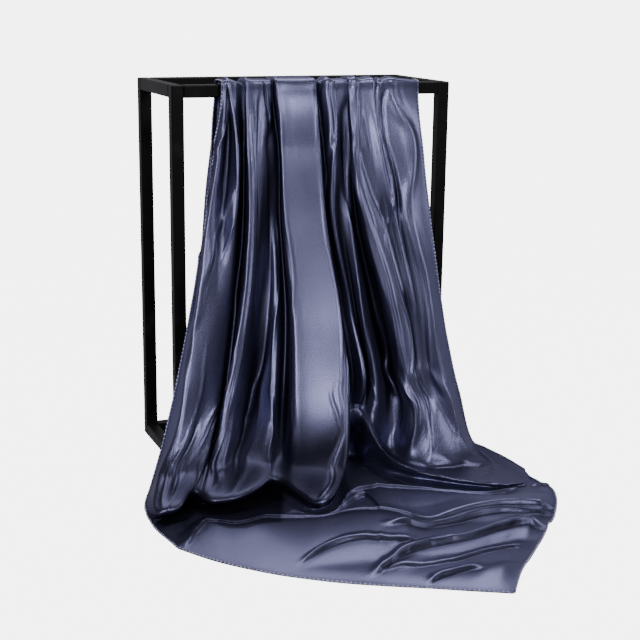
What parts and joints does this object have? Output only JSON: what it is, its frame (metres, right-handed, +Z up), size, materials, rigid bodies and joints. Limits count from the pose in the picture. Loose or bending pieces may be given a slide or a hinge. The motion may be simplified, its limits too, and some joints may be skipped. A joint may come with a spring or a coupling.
{
  "type": "scarf on box-frame stand",
  "caption": "Long satin scarf draped over the top rail of an open box-frame display stand, pleated down the front and trailing on the floor.",
  "frame": {"origin": "on the floor, under the middle of the whole part's box", "axes": "+Z up; +X to the right when facing the draped front; +Y from the front hem of the train towards the back of the stand"},
  "size_m": [0.6162, 0.7778, 0.6073],
  "materials": {
    "satin_cloth": "slate-blue violet satin, fine diagonal weave, bright soft sheen on the folds",
    "rolled_hem": "narrow rolled and stitched satin edge",
    "black_frame": "matt black powder coat on square steel tube"
  },
  "bodies": {
    "root": {"scarf_back_drop": "satin_cloth", "scarf_over_rail": "satin_cloth", "scarf_front_fall": "satin_cloth", "scarf_train": "satin_cloth", "hem_left": "rolled_hem", "hem_right": "rolled_hem", "hem_front_end": "rolled_hem", "hem_back_end": "rolled_hem", "post_front_left": "black_frame", "post_front_right": "black_frame", "post_back_left": "black_frame", "post_back_right": "black_frame", "rail_top_front": "black_frame", "rail_top_back": "black_frame", "rail_top_left": "black_frame", "rail_top_right": "black_frame", "rail_base_front": "black_frame", "rail_base_back": "black_frame", "rail_base_left": "black_frame", "rail_base_right": "black_frame"}
  },
  "joints": []
}
